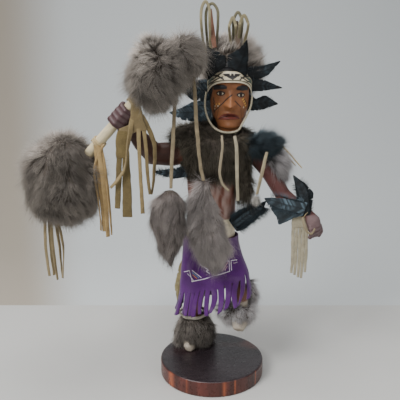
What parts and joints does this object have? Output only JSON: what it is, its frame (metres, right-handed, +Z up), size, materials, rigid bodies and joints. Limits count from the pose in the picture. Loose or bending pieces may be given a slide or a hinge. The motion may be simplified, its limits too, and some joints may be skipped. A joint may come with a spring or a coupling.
{
  "type": "kachina doll",
  "caption": "Carved wooden dancer doll on a round base, dressed with fur, trimmed feathers, suede laces and a suede kilt, holding up a fur-tipped staff.",
  "frame": {"origin": "centre of the base's underside", "axes": "+Z up; the figure faces -Y; its raised staff points to -X"},
  "size_m": [0.3523, 0.1333, 0.4435],
  "materials": {
    "base_wood": "stained near black on top, red-brown on the turned edge, satin varnish",
    "carved_wood": "matt paint in red-brown with painted details",
    "staff_wood": "bare pale wood, dry",
    "grey_fur": "soft brown-grey rabbit fur on the skin",
    "black_down": "black down",
    "white_down": "white down",
    "black_feather": "trimmed black feather with a blue-grey sheen",
    "pale_feather": "pale straw-coloured feather",
    "straw": "bare dry quill",
    "cream_suede": "cream suede lace",
    "tan_suede": "tan suede",
    "purple_suede": "dyed purple suede with a drawn white pattern",
    "painted_band": "cream band painted with a dark pattern"
  },
  "bodies": {
    "root": {"base": "base_wood", "staff": "staff_wood", "carved_figure": "carved_wood", "headband": "painted_band", "kilt": "purple_suede", "wrist_fringe_right": "tan_suede", "wrist_fringe_left": "tan_suede", "staff_laces": "tan_suede", "ball_laces": "tan_suede", "face_cord": "cream_suede", "chin_lace_right": "cream_suede", "chin_lace_left": "cream_suede", "shoulder_lace": "cream_suede", "strap_outer": "cream_suede", "strap_inner": "cream_suede", "wrist_loop_left": "cream_suede", "lace_loops_right": "cream_suede", "lace_loops_left": "cream_suede", "upper_staff_fur": "grey_fur", "lower_staff_fur": "grey_fur", "head_fur": "grey_fur", "mantle_fur": "grey_fur", "arm_fur_left": "grey_fur", "shoulder_down_left": "black_down", "ankle_fur_right": "grey_fur", "ankle_fur_left": "grey_fur", "tail_outer": "grey_fur", "tail_inner": "grey_fur", "white_down": "white_down", "head_feather_1": "black_feather", "head_feather_2": "black_feather", "head_feather_3": "black_feather", "head_feather_4": "black_feather", "head_feather_5": "black_feather", "head_feather_6": "black_feather", "head_feather_7": "black_feather", "wrist_feather_lower": "black_feather", "wrist_feather_upper": "black_feather", "hip_feather": "black_feather", "arm_feather_right": "black_feather", "back_feather": "pale_feather", "straw_quill_long": "straw", "straw_quill_short": "straw"}
  },
  "joints": []
}
